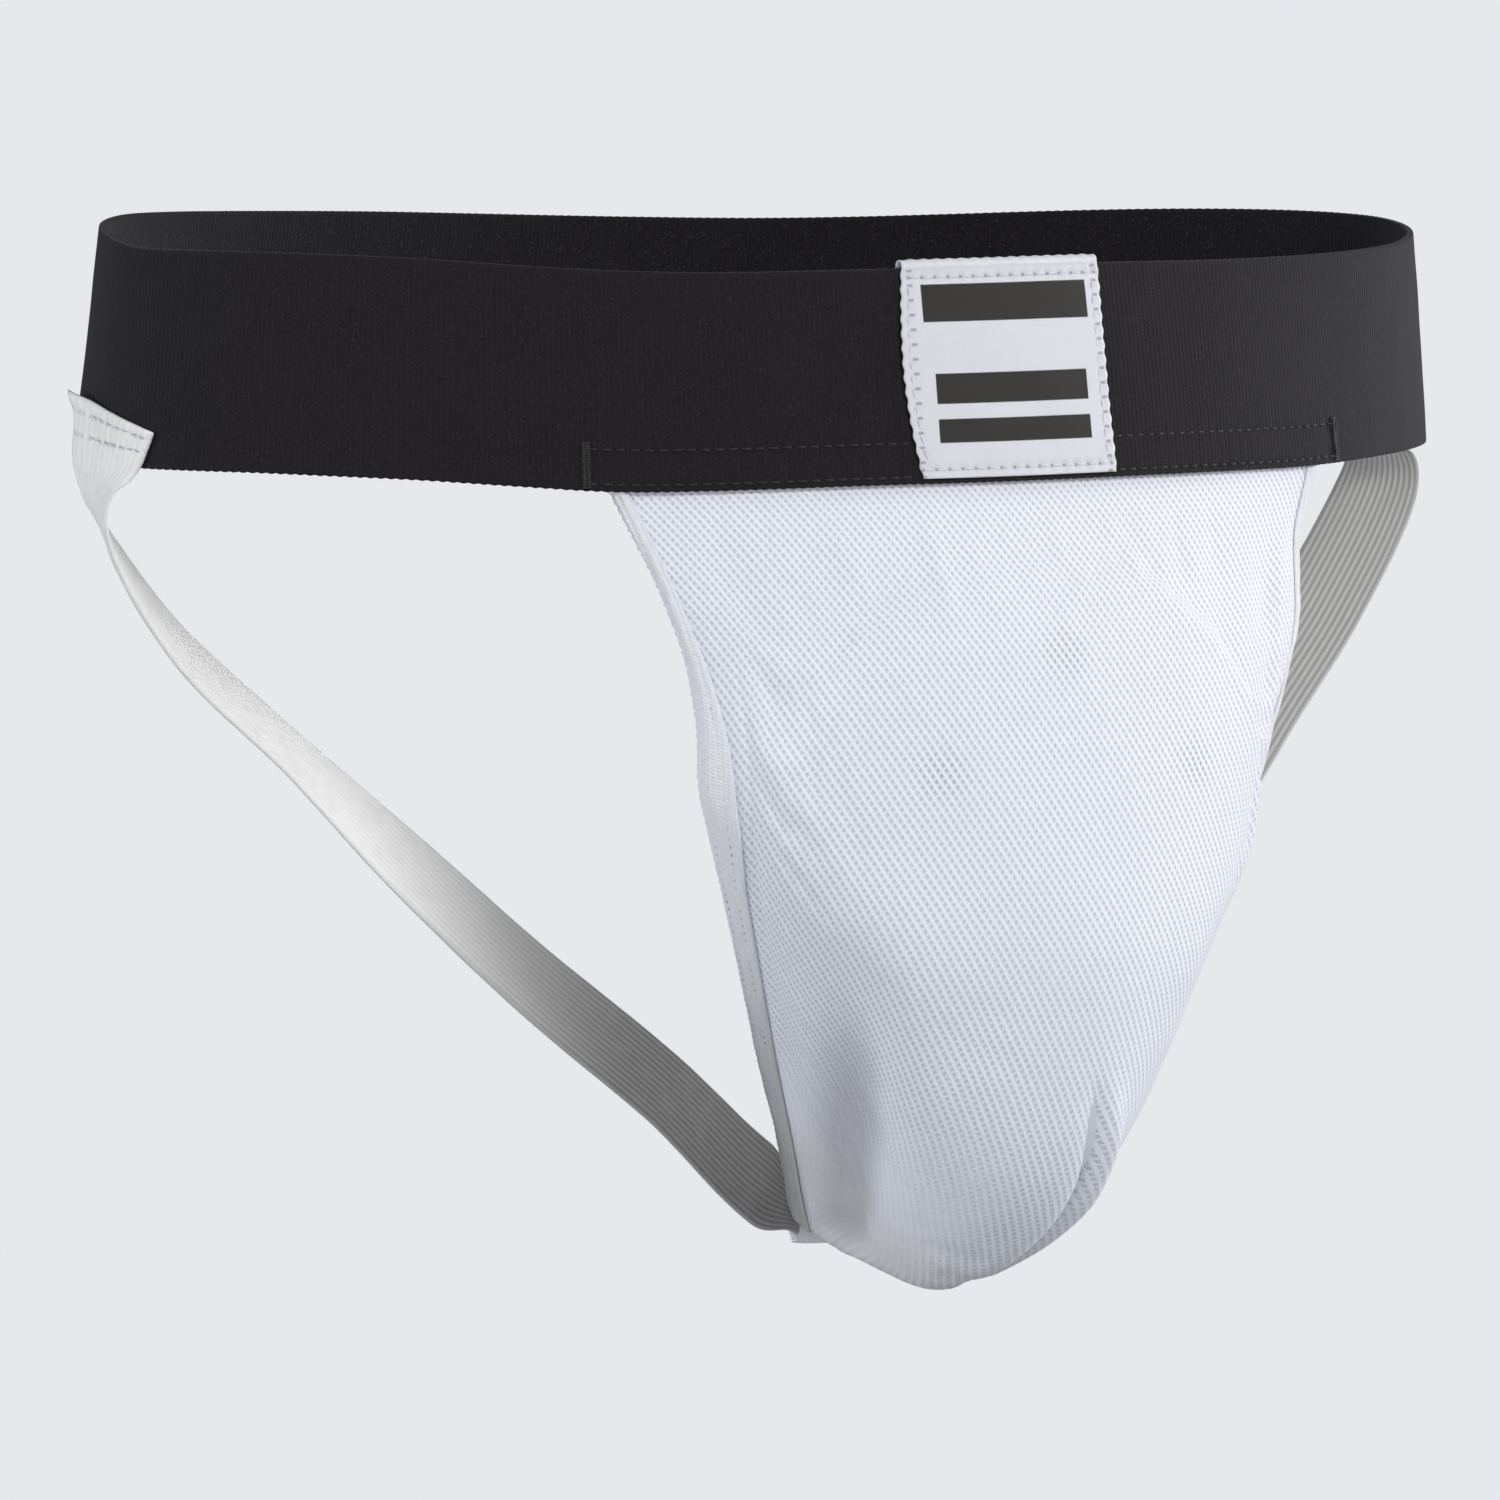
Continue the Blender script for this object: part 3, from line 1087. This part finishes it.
def build_binding(side):
    name = "left" if side > 0 else "right"
    mirror = np.array([side, 1, 1])
    rows = np.linspace(0.0, 0.987, 310)
    profile = binding_profile()
    v = rows[:, None] * np.ones((1, len(profile)))
    k, out = (profile[:, c][None, :] * np.ones((len(rows), 1)) for c in (0, 1))
    relief = profile[:, 2][None, :]
    middle = np.diff(binding_at(rows, 0.5, 0, side), axis=0)
    length = np.concatenate([[0], np.cumsum(np.linalg.norm(middle, axis=1))])
    s = length[:, None]
    # Dents at the needle holes, loose bulges and a wavy free edge.
    dent = sum(bell(k, row, 0.09) * (0.4 + 0.6 * np.clip(cosine(s, BIND_PITCH, phase), 0, 1))
               for row, phase in ((0.26, 0), (0.80, 1.6)))
    out = out - 0.42 * dent * relief + 0.16 * wobble(s / 3.1, k * 5, seed=2) * relief
    wavy = 0.022 * cosine(s, BIND_PITCH) + 0.022 * wobble(s / 6.5, k, seed=9)
    k = k + np.where(k > 0.9, wavy, 0)
    fray = ease(0.62, 0.25, v) * 0.02 * cosine(s, pitch=1.55)
    k = k + np.where(k > 1.0, fray, 0)
    # The inner edge of the tape starts close to its outer edge and widens down the side.
    inner = (0.60 * ease(0.30, 0.12, v)
             + 0.30 * ease(0.26, 0.33, v) * ease(0.62, 0.40, v) * (side > 0)
             - 0.10 * bell(v, 0.36, 0.06) * (side < 0))
    k = np.where(k < 1, inner + k * (1 - inner), k)
    out = out + 1.3 * bell(v, 0.30, 0.045) * ease(0.05, 0.6, k) * relief
    points = binding_at(v, k, out, side)
    # Its upper end is caught under the waistband.
    w = 1 - binding_share(0.0, side) * (1 - np.minimum(k[0], 1))
    beyond = (np.maximum(k[0], 1) - 1)[:, None] * BIND_W * edge_outward(0.0, side)
    caught = [band(POUCH_ANGLE * w, t, -BAND_T - GAP + np.minimum(out[0], 0.3), side) + beyond
              for t in (0.14, 0.07)]
    points = np.concatenate([np.array(caught), points]) * mirror
    k, s = np.concatenate([k[:2], k]), np.concatenate([s[:2] * 0 - 2, s])
    pat = np.stack([k * BIND_W, s * np.ones_like(k), 0 * k], -1)
    ob = ring_mesh(f"{name}_side_binding", points, pat, TAPE_MAT, flip=(side < 0))
    register(ob, "binding_tape", f"{name}_side_binding")

    items = []
    # Row across the tape, shift along it, height off the cloth.
    for row, shift, lift in ((0.26, 0.0, 0.66), (0.80, 0.6, 0.60)):
        for i in range(22, int(length[-1] / BIND_PITCH) - 3):
            at = i * BIND_PITCH
            v0, v1 = np.interp([at + shift, at + 0.8 + shift], length, rows)
            edge = float(np.interp(v0, rows, inner[:, 0]))
            start = binding_at(v0, edge + row * (1 - edge), lift, side)
            end = binding_at(v1, edge + (row + 0.02) * (1 - edge), lift, side)
            outward = normal_of(pouch, v0, 0.95, side)
            items.append((start * mirror, end * mirror, outward * mirror))
    ob = stitches(f"{name}_binding_stitching", items, BIND_THREAD, radius=0.2, rings=4, sides=5)
    register(ob, "white_thread", f"{name}_binding_stitching")


for side in (-1, 1):
    build_binding(side)


# ---------------------------------------------------------------- pouch seam on the waistband
def build_pouch_seam():
    """Two rows either side of the label; stitches and their gaps are measured in degrees."""
    items = []
    for h in SEAM_ROWS:
        for side in (-1, 1):
            p = label_angle(LABEL_W / 2 + 1.0)
            while p < POUCH_ANGLE + 1.6:
                dp = 2.0 / np.linalg.norm(band(p + 1, 0.1, 0) - band(p, 0.1, 0))
                items.append((band(side * p, h / BAND_H, 0.06),
                              band(side * (p + dp), h / BAND_H, 0.06), band_normal(side * p)))
                p += dp * 1.6
    ob = stitches("pouch_top_stitching", items, SEAM_THREAD, radius=0.25)
    register(ob, "black_thread", "pouch_top_stitching")


def build_pouch_bartack(side):
    """Upright zigzag over two straight runs, just outside the pouch corner."""
    p = side * (POUCH_ANGLE + 2.4)
    half_width, step = 0.42, 0.62
    items = []
    for k in range(17):
        low, high = 0.8 + k * step, 1.1 + k * step
        items.append((band(p - half_width, low / BAND_H, 0.25),
                      band(p + half_width, high / BAND_H, 0.25), band_normal(p)))
    for shift in (-0.2, 0.2):
        for low, high in ((0.6, 6.0), (5.6, 11.2)):
            items.append((band(p + shift, low / BAND_H, 0.4),
                          band(p + shift, high / BAND_H, 0.4), band_normal(p)))
    name = f"{'left' if side > 0 else 'right'}_pouch_bartack"
    register(stitches(name, items, BLACK_THREAD, radius=0.26), "black_thread", name)


build_pouch_seam()
for side in (1, -1):
    build_pouch_bartack(side)


# ---------------------------------------------------------------- cup
def signed_power(x, power):
    return np.sign(x) * np.abs(x) ** power


def cup_at(r, angle, out):
    """Cup surface: r is 0 at its middle and 1 at its rim, angle is in degrees from the top."""
    g = np.radians(angle)
    v = 0.47 - r * np.where(np.cos(g) > 0, 0.38, 0.375) * signed_power(np.cos(g), 0.92)
    w = 0.66 * r * signed_power(np.sin(g), 0.88)
    depth = np.asarray(out - MESH_T - 0.35 - 3.2 * r ** 5)
    return even_pouch(v, w) + depth[..., None] * normal_of(even_pouch, v, w)


def vent_cutter():
    """One closed cylinder for each hole, along the pouch's normal."""
    sides = 28
    points, faces = [], []
    for v, w, radius in VENTS:
        centre, normal = even_pouch(v, w), normal_of(even_pouch, v, w)
        up = unit(np.array([0, 0, 1.0]) - normal[2] * normal)
        across = np.cross(up, normal)
        base = len(points)
        for depth in (-9.0, 2.0):
            for k in range(sides):
                t = 2 * math.pi * k / sides
                rim = radius * (math.cos(t) * across + math.sin(t) * up)
                points.append(tuple((centre + normal * depth + rim) * MM))
        far = base + sides
        for k in range(sides):
            after = (k + 1) % sides
            faces.append([base + k, base + after, far + after, far + k])
        faces.append([base + k for k in reversed(range(sides))])
        faces.append([far + k for k in range(sides)])
    me = bpy.data.meshes.new("vents")
    me.from_pydata(points, [], faces)
    ob = link("vents", me)
    recalc_normals(me)
    return ob


def bake_modifiers(ob):
    evaluated = ob.evaluated_get(bpy.context.evaluated_depsgraph_get())
    me = bpy.data.meshes.new_from_object(evaluated)
    ob.modifiers.clear()
    ob.data = me
    shade_smooth(me)


def build_cup():
    r, angle = np.meshgrid(np.linspace(0.03, 1, 38) ** 0.9,
                           np.linspace(0, 360, 132, endpoint=False), indexing="ij")
    rib = 0.55 * bell(r, 0.80, 0.035)
    outer, inner = cup_at(r, angle, rib), cup_at(r, angle, -CUP_T)
    rows, cols = r.shape
    n = rows * cols
    j = np.arange(cols)
    after = (j + 1) % cols
    last = n - cols
    rim = np.stack([last + after, n + last + after, n + last + j, last + j], -1)
    faces = np.concatenate([grid_faces(rows, cols, 0, loop_cols=True, flip=True),
                            grid_faces(rows, cols, n, loop_cols=True), rim]).tolist()
    for a in range(cols):
        b = (a + 1) % cols
        faces += [[b, a, 2 * n], [n + a, n + b, 2 * n + 1]]
    points = np.concatenate([outer.reshape(-1, 3), inner.reshape(-1, 3),
                             [cup_at(0.0, 0.0, 0.0)], [cup_at(0.0, 0.0, -CUP_T)]])
    pat = np.stack([points[:, 0], points[:, 2] + 135, 0 * points[:, 0]], -1)
    ob = mesh("cup_shell", points, faces, pat, CUP_MAT)

    cutter = vent_cutter()
    holes = ob.modifiers.new("holes", "BOOLEAN")
    holes.operation, holes.solver, holes.object = "DIFFERENCE", "EXACT", cutter
    bake_modifiers(ob)
    bpy.data.objects.remove(cutter)
    soften = ob.modifiers.new("soften", "BEVEL")
    soften.width, soften.segments = 0.35 * MM, 2
    soften.limit_method, soften.angle_limit = "ANGLE", math.radians(50)
    bake_modifiers(ob)
    register(ob, "cup_plastic", "cup_shell", body="cup")


def build_rim():
    """Soft lip that grips the cup's edge and tapers outwards."""
    angle = np.linspace(0, 360, 220, endpoint=False)
    edge = cup_at(1.0, angle, -CUP_T / 2)
    outward = unit(edge - cup_at(0.94, angle, -CUP_T / 2))
    thick = unit(cup_at(1.0, angle, 0.0) - cup_at(1.0, angle, -CUP_T))
    e = CUP_T / 2 + 0.04        # half of the slot
    # Columns: distance past the cup's edge, distance through its thickness.
    profile = [(-2.9, e + 0.1), (-2.7, e + 0.8), (-1.6, e + 1.15), (-0.2, e + 1.15),
               (1.4, e + 0.75), (3.2, e + 0.05), (5.0, 0.75), (5.9, 0.35), (6.1, 0),
               (5.9, -0.35), (5.0, -0.75), (3.2, -e - 0.05), (1.4, -e - 0.75),
               (-0.2, -e - 1.15), (-1.6, -e - 1.15), (-2.7, -e - 0.8), (-2.9, -e - 0.1),
               (-2.6, -e), (0.15, -e), (0.15, e), (-2.6, e)]
    rings = np.stack([edge + a * outward + b * thick for a, b in profile], 1)
    turn, step = np.meshgrid(angle, np.arange(len(profile)), indexing="ij")
    ob = ring_mesh("cup_rim", rings, np.stack([turn, step, 0 * turn], -1), RIM_MAT, closed=True)
    register(ob, "rim_elastomer", "cup_rim", body="cup")


build_cup()
build_rim()

# ---------------------------------------------------------------- leg straps
STRAP_STEPS = np.diff(spline(STRAP_LINE, np.linspace(0, 1, 400)), axis=0)
STRAP_L = float(np.linalg.norm(STRAP_STEPS, axis=1).sum())
STRAP_START = 0.04      # share of the line where the strap leaves the band
LAP = 12.0              # length sewn onto the band


def strap_frame(s):
    """Centre, width direction and normal at shares s; straight on beyond the ends."""
    inside = np.clip(s, 0, 1)
    t = unit(spline(STRAP_LINE, np.clip(s + 0.01, 0, 1))
             - spline(STRAP_LINE, np.clip(s - 0.01, 0, 1)))
    beyond = np.where(s < 0, s, 0) + np.where(s > 1, s - 1, 0)
    centre = spline(STRAP_LINE, inside) + t * beyond[:, None] * STRAP_L
    flat = unit(np.array([0, 1.0, 0]) - t[:, [1]] * t)
    twist = np.radians(spline(STRAP_TWIST, inside))[:, None]
    width = flat * np.cos(twist) + np.cross(t, flat) * np.sin(twist)
    return centre, width, np.cross(t, width)


def hip(x, h, out, side):
    """Sewn end on the band: x across the strap, h above the band's lower edge."""
    shift = 1 + 1.35 * x + 0.0138 * x * x + h * (0.028 * x - 0.1)
    return band(90 + shift / BAND_HALF_Y * 57.3, h / BAND_H, out, side)


def strap_grid(d, x, out, side):
    """d is down from the band's lower edge and -LAP at the cut; out is from mid-thickness."""
    centre, width, normal = strap_frame(STRAP_START + d / STRAP_L)
    end = STRAP_L * (1 - STRAP_START)
    pinch = 1 - 0.45 * ease(end - 26, end - 6, d)
    free = (centre[:, None, :] + width[:, None, :] * (x[None, :, None] * pinch[:, None, None])
            + normal[:, None, :] * out[..., None])
    D, X = np.meshgrid(d, x, indexing="ij")
    slant_cut = 12 + 0.33 * X
    h = np.where(D < 0, 0.8 + (-D / LAP) * (slant_cut - 0.8), 0.8 - D)
    lap = hip(X, h, 0.25 + STRAP_T / 2 + out, side)
    k = ease(-1.5, 7.5, d)[:, None, None]
    return lap * (1 - k) + free * k


def strap_piece(name, side, start, end, rows, upper):
    """Length of strap; its outer end is thinned, the other meets the second piece."""
    d = np.linspace(start, end, rows)
    x = np.linspace(-STRAP_W / 2, STRAP_W / 2, 85)
    D, X = np.meshgrid(d, x, indexing="ij")
    thin = ease(start - 0.15, start + 0.5, d) if upper else ease(end + 0.15, end - 0.5, d)
    thin = (thin * 0.6 + 0.4)[:, None]
    edge = ease(1.0, 0.93, np.abs(x) / (STRAP_W / 2))[None, :]
    half = STRAP_T / 2 * (0.45 + 0.55 * edge) * thin
    rib = (0.11 if side > 0 else 0.05) * cosine(x, STRAP_RIB)[None, :] * edge * thin
    uneven = 0.07 * wobble(D / 5.0, X / 3.0, seed=6)
    # Puckers where the cut end is sewn down.
    pucker = sum(-0.20 * bell(D, -row, 0.8) * (0.6 - 0.4 * cosine(X, HIP_PITCH))
                 for row in HIP_ROWS)
    # One edge lifts at the cut and where the strap leaves the band.
    lift = (1.8 * ease(-7.5, -12, D) * ease(6, 11, X)
            + 1.3 * ease(3, 11, X) * ease(6, -2, D))
    outer = strap_grid(d, x, half + rib + uneven + pucker + lift, side)
    inner = strap_grid(d, x, -half - 0.5 * rib + uneven + pucker * 0.4 + lift, side)
    outer[..., 2] += 0.12 * cosine(D, pitch=1.4) * (np.abs(X) > STRAP_W / 2 - 0.1) * 0.3
    mirror = np.array([side, 1, 1])
    pat = np.stack([X, D + LAP, 0 * X + 1], -1)
    inner_pat = pat * np.array([1, 1, -1 if side > 0 else 1])
    return shell_mesh(name, outer * mirror, inner * mirror, pat, STRAP_MAT, flip=(side > 0),
                      inner_pat=inner_pat, sharp_row=-1 if upper else 0)


def build_strap(side):
    name = "left" if side > 0 else "right"
    mirror = np.array([side, 1, 1])
    middle, end = STRAP_L * 0.5, STRAP_L * (1 - STRAP_START) - 4.0
    upper = strap_piece(f"{name}_leg_strap_upper", side, -LAP, middle, rows=190, upper=True)
    lower = strap_piece(f"{name}_leg_strap_lower", side, middle, end, rows=150, upper=False)
    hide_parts(f"{name}_leg_strap", f"{name}_hip_end")
    for ob, held in ((upper, 0.03), (lower, 0.97)):
        fixed, moving = (tuple(spline(STRAP_LINE, s) * mirror * MM) for s in (held, 0.5))
        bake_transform(ob)
    items = []
    lift = np.array([[STRAP_T / 2 + 0.06]])
    for row in HIP_ROWS:
        for x in np.arange(-9.6, 9.0, HIP_PITCH):
            ends = [strap_grid(np.array([-row]), np.array([at]), lift, side)[0, 0] * mirror
                    for at in (x, x + 1.35)]
            items.append((*ends, np.array([side * 1.0, 0, 0])))
    stitching = f"{name}_hip_stitching"
    ob = stitches(stitching, items, GREY_THREAD, radius=0.15, rings=5, sides=5)
    register(ob, "white_thread", stitching)


for side in (-1, 1):
    build_strap(side)

# ---------------------------------------------------------------- crotch patch
PATCH_HALF_W, PATCH_HALF_H = 15, 7
PATCH_BOW = 0.016       # curve across the patch, per mm


def patch(x, y, out):
    """Tilted plane at the crotch: x across, y up it, out towards the front and up."""
    x, y, out = np.broadcast_arrays(*(np.asarray(a, float) for a in (x, y, out)))
    return np.stack([x, -35.5 + 0.38 * y - 0.92 * out, -196 + 0.92 * y + 0.38 * out], -1)


def build_patch():
    x, y = np.meshgrid(np.linspace(-1, 1, 70), np.linspace(1, -1, 40))
    x = x * PATCH_HALF_W * (1 - 0.3 * ease(0.2, -1.0, y))
    y = y * np.where(y < 0, 5.9, PATCH_HALF_H)
    r = np.maximum(np.abs(x) / (PATCH_HALF_W * (1 - 0.22 * ease(1.4, -7.0, y))),
                   np.abs(y) / PATCH_HALF_H)
    edge = ease(1.0, 0.9, r)
    # Sewn groove near the border.
    dip = 0.25 * bell(np.maximum(np.abs(x) - 13, np.abs(y) - 5.4), 0, 0.5)
    front = -11.7 + PATCH_BOW * x * x
    uneven = 0.06 * wobble(x / 2, y / 2, seed=8)
    outer = patch(x, y, front - 0.1 * (1 - edge))
    inner = patch(x, y, front - 0.55 - 0.55 * edge + dip + uneven)
    pat = np.stack([x, y, 0 * x], -1)
    ob = shell_mesh("crotch_patch", outer, inner, pat, TAPE_MAT)
    register(ob, "binding_tape", "crotch_patch")


def build_crotch_bartack(side):
    name = f"{'left' if side > 0 else 'right'}_crotch_bartack"
    items = []
    for k in range(20):
        y = -5.6 + k * 0.58
        ends = [patch(x, y + rise, -12.9 + PATCH_BOW * x * x)
                for x, rise in ((side * 10 - 1.7, 0), (side * 10 + 1.7, 0.28))]
        items.append((*ends, np.array([0, 0.92, -0.38])))
    register(stitches(name, items, WHITE_THREAD, radius=0.2), "white_thread", name)


build_patch()
for side in (1, -1):
    build_crotch_bartack(side)

# ---------------------------------------------------------------- stage, in metres
VIEW_TURN, VIEW_TILT = math.radians(-33), math.radians(4)
VIEW_DISTANCE, VIEW_WIDTH = 2.6, 0.34722222
RIGHT = Vector((math.cos(VIEW_TURN), math.sin(VIEW_TURN), 0))
UP = Vector((0, 0, 1))
BACK = Vector((math.sin(VIEW_TURN) * math.cos(VIEW_TILT),
               -math.cos(VIEW_TURN) * math.cos(VIEW_TILT), math.sin(VIEW_TILT)))
LIGHT_TARGET = Vector((0, -0.07, -0.09))


def floor_material():
    """Plain grey to the light, an even pale backdrop to the camera."""
    m = Material("studio_floor")
    m.set(Base_Color=(0.34, 0.35, 0.37), Roughness=0.9)
    backdrop = m.nodes.new("ShaderNodeEmission")
    backdrop.inputs["Color"].default_value = (0.791, 0.807, 0.839, 1)
    backdrop.inputs["Strength"].default_value = 1.0
    rays = m.nodes.new("ShaderNodeLightPath")
    blend = m.nodes.new("ShaderNodeMixShader")
    m.links.new(rays.outputs["Is Camera Ray"], blend.inputs[0])
    m.links.new(m.shader.outputs[0], blend.inputs[1])
    m.links.new(backdrop.outputs[0], blend.inputs[2])
    m.links.new(blend.outputs[0], m.nodes["Material Output"].inputs[0])
    return m.data


def build_floor():
    """Floor that curves up into a wall, turned square to the camera."""
    level, radius, wall, half_width = -0.46, 1.5, 5.5, 9
    profile = [(-6, level)]
    for a in np.linspace(0, math.pi / 2, 12):
        profile.append((wall - radius + radius * math.sin(a),
                        level + radius - radius * math.cos(a)))
    profile.append((wall, 6))
    c, s = math.cos(-VIEW_TURN), math.sin(-VIEW_TURN)
    points = [(x * c + y * s, -x * s + y * c, z)
              for y, z in profile for x in (-half_width, half_width)]
    faces = [[2 * i, 2 * i + 1, 2 * i + 3, 2 * i + 2] for i in range(len(profile) - 1)]
    me = bpy.data.meshes.new("floor")
    me.from_pydata(points, [], faces)
    ob = link("floor", me)
    me.materials.append(floor_material())


def build_world():
    world = bpy.data.worlds.new("studio")
    world.use_nodes = True
    nodes, links = world.node_tree.nodes, world.node_tree.links
    background = nodes["Background"]
    background.inputs["Color"].default_value = (0.93, 0.955, 1.0, 1)
    geometry = nodes.new("ShaderNodeNewGeometry")
    split = nodes.new("ShaderNodeSeparateXYZ")
    strength = nodes.new("ShaderNodeMapRange")
    links.new(geometry.outputs["Incoming"], split.inputs[0])
    links.new(split.outputs[2], strength.inputs[0])
    links.new(strength.outputs[0], background.inputs["Strength"])
    # "Incoming" points back towards the viewer, so its -Z is the sky overhead.
    sky_z, ground_z, sky, ground = -0.9, 0.7, 0.11, 0.08
    for index, value in enumerate((sky_z, ground_z, sky, ground), 1):
        strength.inputs[index].default_value = value
    bpy.context.scene.world = world


def area_light(name, right, up, back, size, power, color=(1, 1, 1)):
    """Rectangle placed from the target as the camera sees it, and aimed at it."""
    light = bpy.data.lights.new(name, "AREA")
    light.shape = "RECTANGLE"
    light.size, light.size_y = size
    light.energy, light.color = power, color
    ob = link(name, light)
    location = LIGHT_TARGET + RIGHT * right + UP * up + BACK * back
    ob.location = location
    ob.rotation_mode = "QUATERNION"
    ob.rotation_quaternion = (LIGHT_TARGET - location).to_track_quat("-Z", "Y")


def build_camera():
    camera = bpy.data.cameras.new("camera")
    camera.sensor_width = 36
    camera.lens = 36 * VIEW_DISTANCE / VIEW_WIDTH
    camera.clip_start, camera.clip_end = 0.05, 60
    ob = link("camera", camera)
    shift = -4.12 * MM      # along the view's right
    aim = Vector((shift * math.cos(VIEW_TURN), shift * math.sin(VIEW_TURN), -94.15 * MM))
    ob.location = aim + BACK * VIEW_DISTANCE
    ob.rotation_mode = "QUATERNION"
    ob.rotation_quaternion = (-BACK).to_track_quat("-Z", "Y")
    bpy.context.scene.camera = ob


COOL = (0.96, 0.975, 1)
build_floor()
build_world()
area_light("key", right=1.5, up=1.1, back=1.5, size=(0.9, 0.9), power=31,
           color=(1, 0.995, 0.985))
area_light("fill", right=-1.6, up=0.5, back=1.6, size=(1.2, 1.2), power=7, color=COOL)
area_light("side_left", right=-2.1, up=0.5, back=0.3, size=(0.9, 1.2), power=15, color=COOL)
area_light("back_right", right=1.7, up=0.4, back=-0.9, size=(1.0, 1.4), power=24)
area_light("low_front", right=-0.2, up=-0.32, back=2.0, size=(2.4, 0.2), power=12)
area_light("top", right=0.2, up=1.9, back=0.2, size=(1.2, 1.0), power=5)
build_camera()
bpy.context.scene.view_settings.view_transform = "Standard"
bpy.context.scene.view_settings.look = "None"
